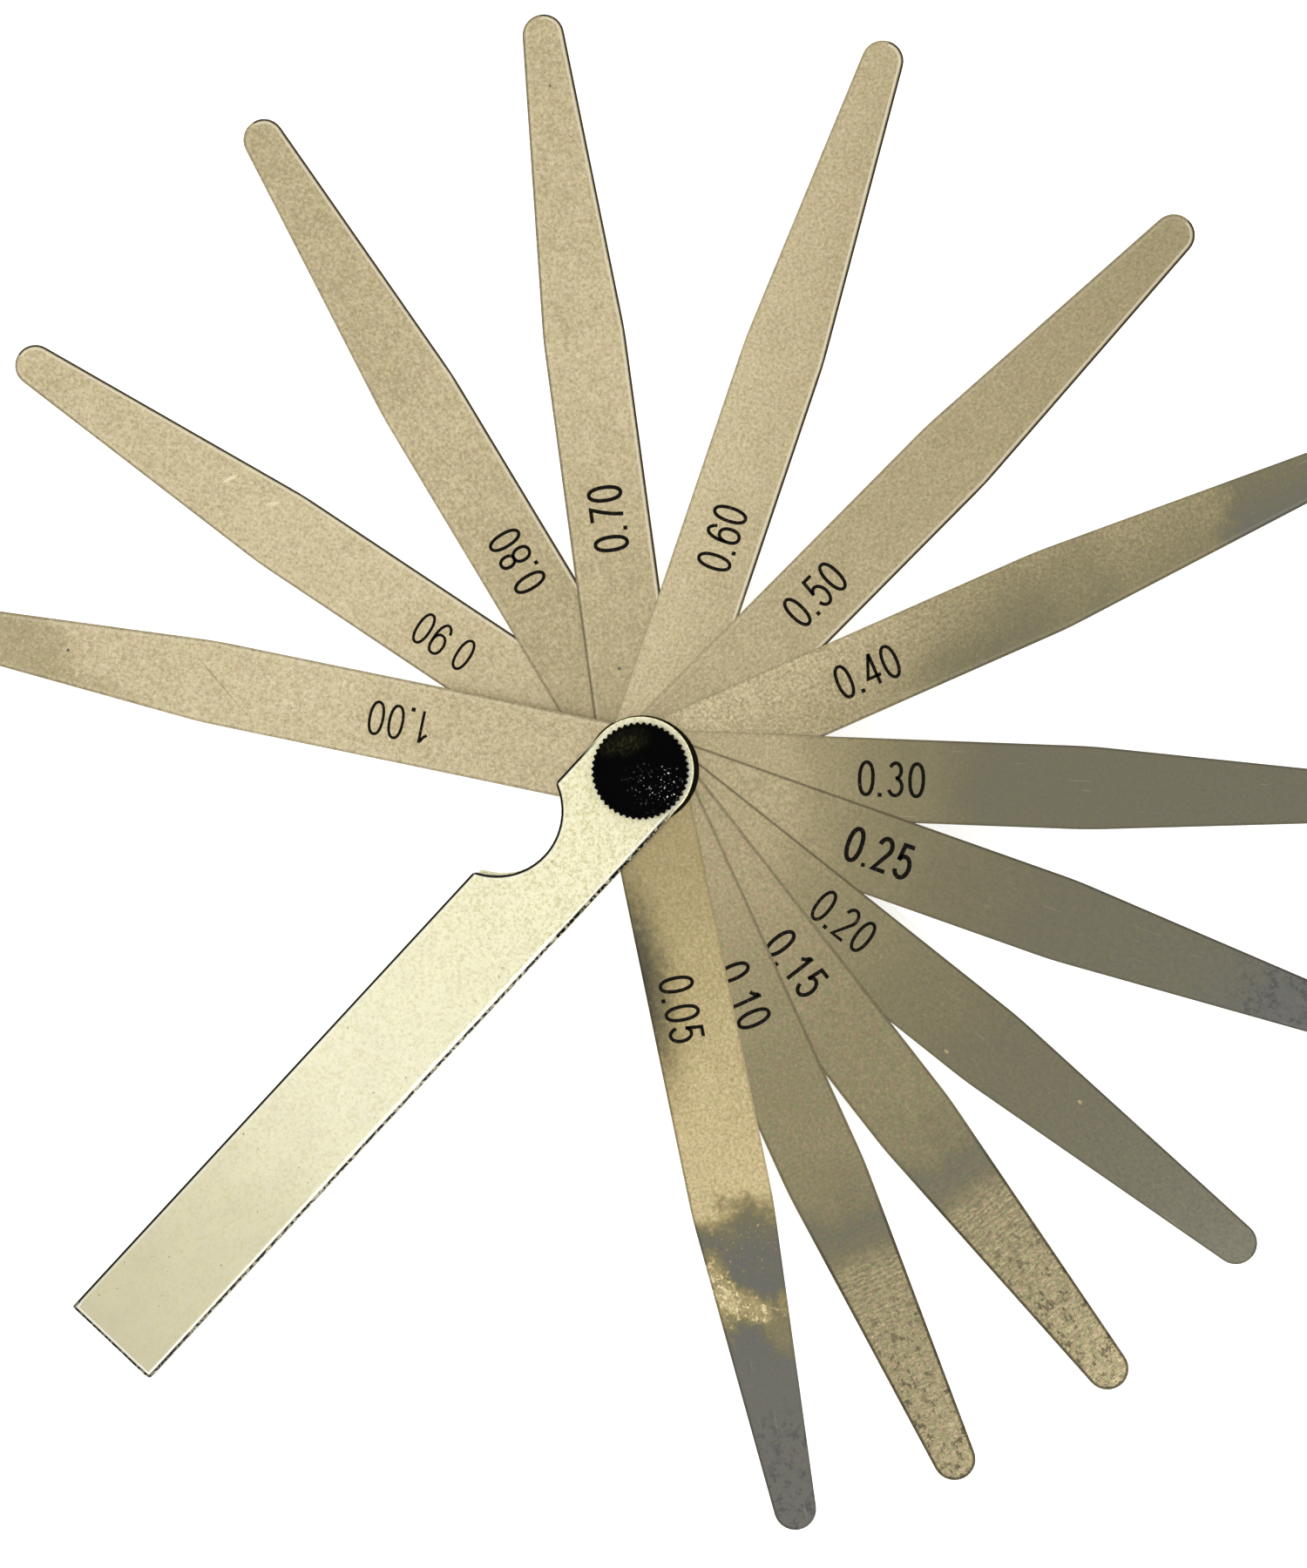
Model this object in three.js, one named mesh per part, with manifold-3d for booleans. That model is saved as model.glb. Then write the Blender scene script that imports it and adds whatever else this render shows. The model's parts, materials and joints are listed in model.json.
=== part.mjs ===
// Feeler gauge: thirteen steel thickness blades that swing on one pivot out of a folded
// sheet-steel case, and are clamped by a knurled knob.
//
// Units are millimetres. The origin is on the pivot axis, at the back face of the pivot
// post's flange. +Z points towards the knob, and +X points along the case, away from the
// pivot. A closed blade lies along +X. Blades open clockwise, seen from the knob side.

import * as THREE from "three";
import { mergeVertices } from "three/addons/utils/BufferGeometryUtils.js";
import Module from "manifold-3d";

const wasm = await Module();
wasm.setup();

// ---- Driving dimensions ----

// The blades from the back of the stack to the knob side. Thickness is in millimetres,
// and opening is how far the blade has swung out of the case, in degrees.
const blades = [
  { name: "blade_0_90", thickness: 0.9, opening: 80.9 },
  { name: "blade_0_80", thickness: 0.8, opening: 106.2 },
  { name: "blade_0_70", thickness: 0.7, opening: 129.5 },
  { name: "blade_0_60", thickness: 0.6, opening: 155.9 },
  { name: "blade_0_50", thickness: 0.5, opening: 182.0 },
  { name: "blade_0_40", thickness: 0.4, opening: 203.4 },
  { name: "blade_0_30", thickness: 0.3, opening: 229.4 },
  { name: "blade_0_25", thickness: 0.25, opening: 246.7 },
  { name: "blade_0_20", thickness: 0.2, opening: 265.7 },
  { name: "blade_0_15", thickness: 0.15, opening: 279.3 },
  { name: "blade_0_10", thickness: 0.1, opening: 292.8 },
  { name: "blade_0_05", thickness: 0.05, opening: 305.5 },
  { name: "blade_1_00", thickness: 1.0, opening: 58.9 },
];

const filmGap = 0.03; // oil film between two faces that slide or rest on each other

const bladeHalfWidth = 5.12;
const bladeReach = 94.9; // pivot to the blade's tip
const bladeTaperStart = 54.7; // pivot to where the sides start to draw in
const bladeTipRadius = 2.6;
const bladeBendRadius = 60; // softens the corner where the taper starts

const postRadius = 2.5;
const pivotHoleRadius = 2.58; // in the blades and in the front cheek
const flangeRadius = 4.4;
const flangeThickness = 1.0;
const squareHalfSide = 2.5; // the post's square shoulder, which keeps it from turning
const squareHoleHalfSide = 2.56;
const screwRadius = 1.5;
const screwBoreRadius = 1.58;

const caseSheet = 0.8;
const caseHalfWidth = 6.33;
const caseReach = 96.3; // pivot to the case's open far end
const caseBendRadius = 1.0; // outside of the folds along the spine
const caseInnerRadius = 0.25; // inside of those folds
const spineStart = 21.9; // the spine leaves the blades room to swing round the pivot

const notchRadius = 8.06;
const notchCentreX = 15.6;
const notchCentreY = -9.6;
const notchCornerRadius = 0.8;

const knobToothCount = 47;
const knobTipRadius = 5.95;
const knobRootRadius = 5.5;
const knobHeight = 3.9;
const knobChamfer = 0.45;
const knobDome = 0.55; // how far the middle of the face stands above its rim
const knobClearance = 0.05; // between the knob's rim and the case
const recessRadius = 4.25; // hollow under the knob that hides the washers
const screwHeadAcrossFlats = 5.5;
const screwHeadHeight = 1.9;
const pocketClearance = 0.03; // round the screw's head, moulded into the knob

const flatWasherThickness = 0.5;
const washerRadius = 4.0;
const washerHoleRadius = 1.65;
const springSheet = 0.3;
const springWave = 0.2; // how far the spring washer's crests stand from its middle
const springWaveCount = 3;

// ---- Heights that follow ----

const stackHeight = blades.reduce((sum, blade) => sum + blade.thickness + filmGap, filmGap);
const backCheekBottom = flangeThickness + filmGap;
const channelBottom = backCheekBottom + caseSheet;
const channelTop = channelBottom + stackHeight;
const frontCheekTop = channelTop + caseSheet;
const postTop = frontCheekTop - 0.4; // just short of the face, so that the knob can pinch the case
const flatWasherBottom = frontCheekTop + filmGap;
const springMiddle = flatWasherBottom + flatWasherThickness + filmGap + springWave + springSheet / 2;
const recessTop = springMiddle + springWave + springSheet / 2 + filmGap;
const knobBottom = frontCheekTop + knobClearance;
const knobTop = knobBottom + knobHeight;
const screwHeadBottom = recessTop + filmGap;
const screwBottom = channelBottom - 0.2;
const postBoreBottom = flangeThickness + 0.3;

// ---- Outlines ----

const degrees = (angle) => (angle * Math.PI) / 180;

// The point at an angle in degrees on a circle about x, y.
function onCircle(x, y, radius, angle) {
  return new THREE.Vector2(x + radius * Math.cos(degrees(angle)), y + radius * Math.sin(degrees(angle)));
}

// Points along an arc, from one angle to another in degrees, both ends included.
function arc(x, y, radius, from, to, steps) {
  const points = [];
  for (let i = 0; i <= steps; i++) {
    points.push(onCircle(x, y, radius, from + ((to - from) * i) / steps));
  }
  return points;
}

// A closed ring of points about the pivot.
function ring(radius, sides) {
  return arc(0, 0, radius, 0, 360, sides).slice(0, sides);
}

// A square with its corners cut round, such as the post's shoulder.
function roundedSquare(halfSide) {
  const corner = 0.5;
  const middle = halfSide - corner;
  return [
    ...arc(middle, middle, corner, 0, 90, 3),
    ...arc(-middle, middle, corner, 90, 180, 3),
    ...arc(-middle, -middle, corner, 180, 270, 3),
    ...arc(middle, -middle, corner, 270, 360, 3),
  ];
}

// One blade: round round the pivot, parallel, then tapering to a round tip.
function bladeOutline() {
  const tipCentre = bladeReach - bladeTipRadius;
  const run = tipCentre - bladeTaperStart;
  const toTip = Math.atan2(bladeHalfWidth, run);
  const taper = toTip - Math.asin(bladeTipRadius / Math.hypot(run, bladeHalfWidth));
  const taperDegrees = THREE.MathUtils.radToDeg(taper);
  const bendX = bladeTaperStart - bladeBendRadius * Math.tan(taper / 2);
  const bendY = bladeBendRadius - bladeHalfWidth;
  return [
    ...arc(bendX, bendY, bladeBendRadius, -90, -90 + taperDegrees, 3),
    ...arc(tipCentre, 0, bladeTipRadius, -90 + taperDegrees, 90 - taperDegrees, 14),
    ...arc(bendX, -bendY, bladeBendRadius, 90 - taperDegrees, 90, 3),
    ...arc(0, 0, bladeHalfWidth, 90, 270, 20),
  ];
}

// The case seen from the knob side, with the thumb notch in its open side.
function caseOutline() {
  const cornerY = notchCornerRadius - caseHalfWidth;
  const rise = cornerY - notchCentreY;
  const reach = notchRadius + notchCornerRadius;
  const run = Math.sqrt(reach * reach - rise * rise);
  const lean = THREE.MathUtils.radToDeg(Math.atan2(rise, run));
  return [
    ...arc(0, 0, caseHalfWidth, 90, 270, 28),
    ...arc(notchCentreX - run, cornerY, notchCornerRadius, -90, -lean, 5),
    ...arc(notchCentreX, notchCentreY, notchRadius, 180 - lean, lean, 20).slice(1, -1),
    ...arc(notchCentreX + run, cornerY, notchCornerRadius, 180 + lean, 270, 5),
    new THREE.Vector2(caseReach, -caseHalfWidth),
    new THREE.Vector2(caseReach, caseHalfWidth),
  ];
}

// The knob's toothed edge.
function knurlOutline() {
  const points = [];
  const pitch = 360 / knobToothCount;
  for (let tooth = 0; tooth < knobToothCount; tooth++) {
    points.push(onCircle(0, 0, knobRootRadius, tooth * pitch));
    points.push(onCircle(0, 0, knobTipRadius, (tooth + 0.5) * pitch));
  }
  return points;
}

// ---- Solids ----

// A straight prism on an outline, from one height to another, with holes if any are given.
function prism(outline, bottom, top, holes = []) {
  const shape = new THREE.Shape(outline);
  for (const hole of holes) {
    shape.holes.push(new THREE.Path(hole));
  }
  const geometry = new THREE.ExtrudeGeometry(shape, { depth: top - bottom, bevelEnabled: false });
  return geometry.translate(0, 0, bottom);
}

// A prism that runs along X instead, on an outline given as points of Y and Z.
function prismAlongX(outline, start, end) {
  const turn = new THREE.Matrix4().makeBasis(
    new THREE.Vector3(0, 1, 0),
    new THREE.Vector3(0, 0, 1),
    new THREE.Vector3(1, 0, 0),
  );
  return prism(outline, start, end).applyMatrix4(turn);
}

// A solid of revolution about Z, from a profile of points of radius and height.
function turned(profile, sides) {
  return new THREE.LatheGeometry(profile, sides).rotateX(Math.PI / 2);
}

function toSolid(geometry) {
  const bare = geometry.clone();
  bare.deleteAttribute("normal");
  bare.deleteAttribute("uv");
  const merged = mergeVertices(bare, 1e-4);
  return new wasm.Manifold(
    new wasm.Mesh({
      numProp: 3,
      vertProperties: merged.attributes.position.array,
      triVerts: new Uint32Array(merged.index.array),
    }),
  );
}

function toGeometry(solid) {
  const mesh = solid.getMesh();
  const geometry = new THREE.BufferGeometry();
  geometry.setAttribute("position", new THREE.BufferAttribute(mesh.vertProperties, 3));
  geometry.setIndex(new THREE.BufferAttribute(mesh.triVerts, 1));
  geometry.computeVertexNormals();
  return geometry;
}

// The first geometry with each of the others cut out of it.
function cut(geometry, ...cutters) {
  const solid = cutters.reduce((rest, cutter) => rest.subtract(toSolid(cutter)), toSolid(geometry));
  return toGeometry(solid);
}

function join(...geometries) {
  const [first, ...others] = geometries.map(toSolid);
  return toGeometry(others.reduce((whole, other) => whole.add(other), first));
}

function overlap(first, second) {
  return toGeometry(toSolid(first).intersect(toSolid(second)));
}

// ---- Parts ----

// The case is one folded sheet: a back cheek, a front cheek and the spine between them.
function caseShell() {
  const past = 5; // how far a cutter runs on beyond the faces that it cuts
  const spineInside = caseHalfWidth - caseSheet;
  const blank = prism(caseOutline(), backCheekBottom, frontCheekTop);

  const cornerY = spineInside - caseInnerRadius;
  const channel = prismAlongX(
    [
      new THREE.Vector2(-caseHalfWidth - past, channelBottom),
      ...arc(cornerY, channelBottom + caseInnerRadius, caseInnerRadius, -90, 0, 4),
      ...arc(cornerY, channelTop - caseInnerRadius, caseInnerRadius, 0, 90, 4),
      new THREE.Vector2(-caseHalfWidth - past, channelTop),
    ],
    -caseHalfWidth - past,
    caseReach + past,
  );
  const window = prismAlongX(
    [
      new THREE.Vector2(0, channelBottom),
      new THREE.Vector2(caseHalfWidth + past, channelBottom),
      new THREE.Vector2(caseHalfWidth + past, channelTop),
      new THREE.Vector2(0, channelTop),
    ],
    -caseHalfWidth - past,
    spineStart,
  );

  const foldY = caseHalfWidth - caseBendRadius;
  const lowFold = backCheekBottom + caseBendRadius;
  const highFold = frontCheekTop - caseBendRadius;
  const lowCorner = prismAlongX(
    [
      ...arc(foldY, lowFold, caseBendRadius, 0, -90, 8),
      new THREE.Vector2(foldY, backCheekBottom - past),
      new THREE.Vector2(caseHalfWidth + past, backCheekBottom - past),
      new THREE.Vector2(caseHalfWidth + past, lowFold),
    ],
    spineStart,
    caseReach + past,
  );
  const highCorner = prismAlongX(
    [
      ...arc(foldY, highFold, caseBendRadius, 90, 0, 8),
      new THREE.Vector2(caseHalfWidth + past, highFold),
      new THREE.Vector2(caseHalfWidth + past, frontCheekTop + past),
      new THREE.Vector2(foldY, frontCheekTop + past),
    ],
    spineStart,
    caseReach + past,
  );

  const squareHole = prism(roundedSquare(squareHoleHalfSide), 0, channelBottom + filmGap);
  const roundHole = prism(ring(pivotHoleRadius, 32), channelTop - filmGap, frontCheekTop + past);
  return cut(blank, channel, window, lowCorner, highCorner, squareHole, roundHole);
}

// The post that every blade turns on: flange, square shoulder, and a tapped tube.
function pivotPost() {
  const flangeEdge = 0.2; // chamfer round the back of the flange
  const flange = turned(
    [
      new THREE.Vector2(0, 0),
      new THREE.Vector2(flangeRadius - flangeEdge, 0),
      new THREE.Vector2(flangeRadius, flangeEdge),
      new THREE.Vector2(flangeRadius, flangeThickness),
      new THREE.Vector2(0, flangeThickness),
    ],
    32,
  );
  const buried = 0.1; // how far one solid runs into the next, so that they join
  const shoulder = prism(roundedSquare(squareHalfSide), flangeThickness - buried, channelBottom);
  const tube = prism(ring(postRadius, 32), channelBottom - buried, postTop);
  const bore = prism(ring(screwBoreRadius, 20), postBoreBottom, postTop + 1);
  return cut(join(flange, shoulder, tube), bore);
}

function blade(bottom, thickness) {
  return prism(bladeOutline(), bottom, bottom + thickness, [ring(pivotHoleRadius, 32)]);
}

function flatWasher() {
  const top = flatWasherBottom + flatWasherThickness;
  return prism(ring(washerRadius, 32), flatWasherBottom, top, [ring(washerHoleRadius, 20)]);
}

// A wavy spring washer: a flat ring whose height rises and falls as it goes round.
function springWasher() {
  const sides = 36;
  const halfSheet = springSheet / 2;
  const section = [
    new THREE.Vector2(washerHoleRadius, springMiddle - halfSheet),
    new THREE.Vector2(washerRadius - 0.2, springMiddle - halfSheet),
    new THREE.Vector2(washerRadius - 0.2, springMiddle + halfSheet),
    new THREE.Vector2(washerHoleRadius, springMiddle + halfSheet),
    new THREE.Vector2(washerHoleRadius, springMiddle - halfSheet),
  ];
  const geometry = turned(section, sides);
  const position = geometry.attributes.position;
  for (let i = 0; i < position.count; i++) {
    const angle = Math.atan2(position.getY(i), position.getX(i));
    const rise = springWave * Math.cos(springWaveCount * angle);
    position.setZ(i, position.getZ(i) + rise);
  }
  return geometry;
}

// Hexagon-head screw. The knob is moulded round the head.
function clampScrew() {
  const tip = 0.3; // chamfer at the screw's end
  const shank = turned(
    [
      new THREE.Vector2(0, screwBottom),
      new THREE.Vector2(screwRadius - tip, screwBottom),
      new THREE.Vector2(screwRadius, screwBottom + tip),
      new THREE.Vector2(screwRadius, screwHeadBottom + tip),
      new THREE.Vector2(0, screwHeadBottom + tip),
    ],
    20,
  );
  const corner = screwHeadAcrossFlats / Math.sqrt(3);
  const head = prism(ring(corner, 6), screwHeadBottom, screwHeadBottom + screwHeadHeight);
  return join(shank, head);
}

// The moulded knob: a knurled edge, a shallow domed face, and a hollow underside.
function knobMoulding() {
  const toothed = prism(knurlOutline(), knobBottom, knobTop);
  const faceRadius = knobTipRadius - knobChamfer;
  const domeSteps = 5;
  const rimHeight = knobTop - knobDome;
  const dome = [];
  for (let i = 0; i <= domeSteps; i++) {
    const radius = faceRadius * (1 - i / domeSteps);
    const share = radius / faceRadius;
    dome.push(new THREE.Vector2(radius, rimHeight + knobDome * (1 - share * share)));
  }
  const envelope = turned(
    [
      new THREE.Vector2(0, knobBottom - 1),
      new THREE.Vector2(knobTipRadius + 0.1, knobBottom - 1),
      new THREE.Vector2(knobTipRadius + 0.1, rimHeight - knobChamfer),
      ...dome,
    ],
    knobToothCount,
  );
  const recess = prism(ring(recessRadius, 32), knobBottom - 1, recessTop);
  const pocketCorner = (screwHeadAcrossFlats + 2 * pocketClearance) / Math.sqrt(3);
  const pocketTop = screwHeadBottom + screwHeadHeight + pocketClearance;
  const pocket = prism(ring(pocketCorner, 6), recessTop - 0.1, pocketTop);
  return cut(overlap(toothed, envelope), recess, pocket);
}

// ---- Materials ----

const steel = { color: 0xc2b391, roughness: 0.38, metalness: 1 };
const nickel = { color: 0xf0ebcb, roughness: 0.3, metalness: 1 };
const blackPlastic = { color: 0x0a0a0a, roughness: 0.5, metalness: 0 };
const plainSteel = { color: 0xb4b2ac, roughness: 0.35, metalness: 1 };

// ---- Assembly ----

const gauge = new THREE.Group();

function addPart(name, geometry, material, parent = gauge) {
  const mesh = new THREE.Mesh(geometry, new THREE.MeshStandardMaterial(material));
  mesh.name = name;
  parent.add(mesh);
}

addPart("case", caseShell(), nickel);
addPart("pivot_post", pivotPost(), plainSteel);

let bladeBottom = channelBottom + filmGap;
for (const { name, thickness, opening } of blades) {
  const swing = new THREE.Group();
  swing.rotation.z = -degrees(opening);
  gauge.add(swing);
  addPart(name, blade(bladeBottom, thickness), steel, swing);
  bladeBottom += thickness + filmGap;
}

addPart("flat_washer", flatWasher(), plainSteel);
addPart("spring_washer", springWasher(), plainSteel);
addPart("clamp_screw", clampScrew(), plainSteel);
addPart("knob", knobMoulding(), blackPlastic);

export default gauge;
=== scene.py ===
"""A feeler gauge, fanned out and lying on a white table, looked down on from close above."""
import json
import math

import bmesh
import bpy
from mathutils import Matrix, Vector, noise


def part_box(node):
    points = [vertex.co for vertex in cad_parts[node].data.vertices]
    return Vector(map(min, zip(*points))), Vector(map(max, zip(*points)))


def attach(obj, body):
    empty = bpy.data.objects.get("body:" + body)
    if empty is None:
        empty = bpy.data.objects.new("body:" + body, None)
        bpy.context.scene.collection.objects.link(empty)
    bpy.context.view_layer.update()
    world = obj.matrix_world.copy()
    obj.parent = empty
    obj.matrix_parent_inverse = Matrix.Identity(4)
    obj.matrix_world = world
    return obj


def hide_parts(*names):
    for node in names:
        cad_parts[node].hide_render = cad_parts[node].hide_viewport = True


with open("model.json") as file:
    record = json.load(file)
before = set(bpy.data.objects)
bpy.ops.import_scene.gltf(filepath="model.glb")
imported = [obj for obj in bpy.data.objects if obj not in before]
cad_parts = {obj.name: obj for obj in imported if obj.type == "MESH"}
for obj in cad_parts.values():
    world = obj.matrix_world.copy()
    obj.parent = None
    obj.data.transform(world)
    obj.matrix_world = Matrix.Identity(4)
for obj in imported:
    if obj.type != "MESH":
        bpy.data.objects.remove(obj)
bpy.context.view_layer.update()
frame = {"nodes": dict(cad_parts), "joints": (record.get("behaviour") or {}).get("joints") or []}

MM = 0.001

# ---------------------------------------------------------------- building node materials


def srgb(red, green, blue):
    """A colour given as 0 to 255 screen values, in the linear values that shaders take."""

    def linear(value):
        share = value / 255
        return share / 12.92 if share <= 0.04045 else ((share + 0.055) / 1.055) ** 2.4

    return (linear(red), linear(green), linear(blue))


class Look:
    """A node tree being built. Most methods add one node and return the output that the next one reads."""

    def __init__(self, name=None, tree=None):
        if tree is None:
            self.material = bpy.data.materials.new(name)
            self.material.use_nodes = True
            tree = self.material.node_tree
            self.surface = tree.nodes["Principled BSDF"]
        self.tree = tree

    def put(self, socket, value):
        if isinstance(value, bpy.types.NodeSocket):
            self.tree.links.new(value, socket)
        else:
            socket.default_value = value

    def add(self, kind, inputs, output=0, **settings):
        node = self.tree.nodes.new("ShaderNode" + kind)
        for key, value in settings.items():
            setattr(node, key, value)
        for key, value in inputs.items():
            self.put(node.inputs[key], value)
        return node.outputs[output]

    def math(self, operation, *values):
        return self.add("Math", dict(enumerate(values)), operation=operation)

    def plus(self, first, second):
        return self.math("ADD", first, second)

    def minus(self, first, second):
        return self.math("SUBTRACT", first, second)

    def times(self, first, second):
        return self.math("MULTIPLY", first, second)

    def away_from(self, value, middle):
        """How far a value is from its middle, either way."""
        return self.math("ABSOLUTE", self.minus(value, middle))

    def hypotenuse(self, first, second):
        return self.math("SQRT", self.plus(self.times(first, first), self.times(second, second)))

    def vector(self, operation, *values):
        return self.add("VectorMath", dict(enumerate(values)), operation=operation)

    def dot(self, first, second):
        return self.add("VectorMath", {0: first, 1: second}, "Value", operation="DOT_PRODUCT")

    def length(self, vector):
        return self.add("VectorMath", {0: vector}, "Value", operation="LENGTH")

    def split(self, vector):
        separate = self.tree.nodes.new("ShaderNodeSeparateXYZ")
        self.put(separate.inputs[0], vector)
        return separate.outputs

    def locate(self, **placing):
        """Sets where a point is, in mm along the object's x, y and z axes, once moved and turned."""
        here = self.add("TexCoord", {}, "Object")
        self.where = self.add("Mapping", {"Vector": here, "Scale": (1 / MM, 1 / MM, 1 / MM), **placing})
        self.along, self.across, self.height = self.split(self.where)

    def uprightness(self):
        """1 on level faces to 0 on upright ones."""
        return self.math("ABSOLUTE", self.split(self.add("TexCoord", {}, "Normal"))[2])

    def noise(self, scale, detail=2.0, roughness=0.5, swirl=0.0, where=None):
        """Noise between 0 and 1, read where a point is unless another place is given."""
        inputs = {
            "Vector": self.where if where is None else where,
            "Scale": scale,
            "Detail": detail,
            "Roughness": roughness,
            "Distortion": swirl,
        }
        return self.add("TexNoise", inputs, "Fac")

    def wobble(self, *settings, **more):
        """Noise that swings evenly about zero."""
        return self.minus(self.noise(*settings, **more), 0.5)

    def step(self, value, low, high, from_value=0.0, to_value=1.0):
        """A smooth step of value between low and high."""
        inputs = {0: value, 1: low, 2: high, 3: from_value, 4: to_value}
        return self.add("MapRange", inputs, interpolation_type="SMOOTHSTEP")

    def ramp(self, value, stops):
        """Stops are (place, brightness) or (place, (red, green, blue)) pairs."""
        node = self.tree.nodes.new("ShaderNodeValToRGB")
        self.put(node.inputs[0], value)
        elements = node.color_ramp.elements
        while len(elements) < len(stops):
            elements.new(1.0)
        for element, (place, colour) in zip(elements, stops):
            element.position = place
            element.color = (*colour, 1.0) if isinstance(colour, tuple) else (colour, colour, colour, 1.0)
        return node.outputs[0]

    def mix(self, share, first, second, how="MIX"):
        node = self.tree.nodes.new("ShaderNodeMix")
        node.data_type = "RGBA"
        node.blend_type = how
        self.put(node.inputs[0], share)
        for socket, value in ((node.inputs[6], first), (node.inputs[7], second)):
            self.put(socket, (*value, 1.0) if isinstance(value, tuple) else value)
        return node.outputs[2]

    def tinted(self, colour, tint):
        return self.mix(1.0, colour, tint, "MULTIPLY")

    def painted(self, colour, share, strength, paint):
        """The colour with paint over it, as thickly as share times strength says."""
        return self.mix(self.times(share, strength), colour, paint)

    def patch(self, oval, softness):
        """1 inside a ragged oval to 0 outside. oval is its middle, two half sizes and turn in degrees."""
        along, across, half_length, half_width, turn = oval
        placing = {
            "Location": (along, across, 0),
            "Rotation": (0, 0, math.radians(turn)),
            "Scale": (half_length, half_width, 1000),
        }
        from_middle = self.add("Mapping", {"Vector": self.where, **placing}, vector_type="TEXTURE")
        ragged = self.times(self.wobble(1.1, 4, 0.65), 1.2)
        distance = self.plus(self.length(from_middle), ragged)
        return self.step(distance, 1.0 - softness, 1.0 + softness, 1.0, 0.0)

    def bump(self, height, distance, strength=1.0, under=None):
        inputs = {"Height": height, "Distance": distance, "Strength": strength}
        if under is not None:
            inputs["Normal"] = under
        return self.add("Bump", inputs)

    def finish(self, colour, roughness, bumps, even):
        """Gives the surface its colour, roughness and bumps, and the values that are even all over it."""
        for label, value in (("Base Color", colour), ("Roughness", roughness), ("Normal", bumps)):
            self.put(self.surface.inputs[label], value)
        for label, value in even.items():
            self.surface.inputs[label].default_value = value
        return self.material


# ---------------------------------------------------------------- the view and the light

# The picture's right and up directions on the table. The closed case would point down and left in it.
RIGHT = Vector((-0.679, 0.734, 0)).normalized()
UP = Vector((-0.734, -0.679, 0)).normalized()
LEAN = 0.0461  # how far the camera stands to the right of straight above the pivot, as a slope
CAMERA_DISTANCE = 300 * MM
AIM_HEIGHT = 1.8 * MM
VIEW_HEIGHT = 196.1 * MM  # what the picture's long side takes in at the pivot
SENSOR = 36.0
CLIP = (0.01, 40)  # takes in the whole table from any side
FRAMING = (0.0061, -0.0083)  # how far off the picture's middle the pivot is, as lens shift

TENT_BY_HEIGHT = [(0.0, 0.22), (0.1, 0.3), (0.26, 0.95), (0.55, 1.0), (0.85, 0.8), (1.0, 0.78)]
TENT_BRIGHTNESS = 1.42
TENT_TINT = (1.0, 0.995, 0.985, 1.0)
DIM_SIDE = (0.3, -0.2)  # towards the picture's right and up, where 1 is the horizon
DIM_SIZE = (0.1, 0.34)  # where the dim side begins to fade and where it has faded
DIM_LEVEL = 0.72

LAMP_PLACE = RIGHT * 0.22 - UP * 0.24 + Vector((0, 0, 0.34))
LAMP_SIZE = 0.025
LAMP_POWER = 0.45

TABLE_HALF = 8.0
TABLE_DROP = 0.02 * MM  # keeps the table from touching the gauge's back
TABLE_GREYS = [(0.3, 0.72), (0.7, 0.76)]
TABLE_GLOW = 0.7  # lifts the table to the photo's plain white


def add_camera():
    towards = (RIGHT * LEAN + Vector((0, 0, 1))).normalized()
    across = (RIGHT - towards * RIGHT.dot(towards)).normalized()
    upwards = towards.cross(across)
    data = bpy.data.cameras.new("camera")
    data.sensor_fit = "AUTO"
    data.sensor_width = SENSOR
    data.lens = SENSOR * CAMERA_DISTANCE / VIEW_HEIGHT
    data.shift_x, data.shift_y = FRAMING
    data.clip_start, data.clip_end = CLIP
    camera = bpy.data.objects.new("camera", data)
    stand = Matrix((across, upwards, towards)).transposed().to_4x4()
    stand.translation = Vector((0, 0, AIM_HEIGHT)) + towards * CAMERA_DISTANCE
    camera.matrix_world = stand
    bpy.context.scene.collection.objects.link(camera)
    bpy.context.scene.camera = camera


def add_world():
    """A soft white tent, darker towards the table's edge, with one dim side that the thin blades reflect.

    What shows past the table is an even white.
    """
    world = bpy.data.worlds.new("tent")
    world.use_nodes = True
    bpy.context.scene.world = world
    tent = Look(tree=world.node_tree)
    background = world.node_tree.nodes["Background"]
    direction = tent.add("TexCoord", {}, "Generated")
    by_height = tent.ramp(tent.split(direction)[2], TENT_BY_HEIGHT)
    off_right = tent.minus(tent.dot(direction, tuple(RIGHT)), DIM_SIDE[0])
    off_up = tent.minus(tent.dot(direction, tuple(UP)), DIM_SIDE[1])
    dim = tent.step(tent.hypotenuse(off_right, off_up), *DIM_SIZE, DIM_LEVEL, 1.0)
    lit = tent.times(tent.times(by_height, dim), TENT_BRIGHTNESS)
    seen = tent.add("LightPath", {}, "Is Camera Ray")
    unseen = tent.minus(1.0, seen)
    tent.put(background.inputs["Color"], TENT_TINT)
    tent.put(background.inputs["Strength"], tent.plus(seen, tent.times(unseen, lit)))


def add_lamp():
    """A small soft lamp above the gauge, aimed at the pivot, that sparkles on the knob's grains."""
    data = bpy.data.lights.new("sparkle_lamp", "AREA")
    data.shape = "SQUARE"
    data.size = LAMP_SIZE
    data.energy = LAMP_POWER
    lamp = bpy.data.objects.new("sparkle_lamp", data)
    lamp.location = LAMP_PLACE
    lamp.rotation_euler = lamp.location.to_track_quat("Z", "Y").to_euler()
    bpy.context.scene.collection.objects.link(lamp)


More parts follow.
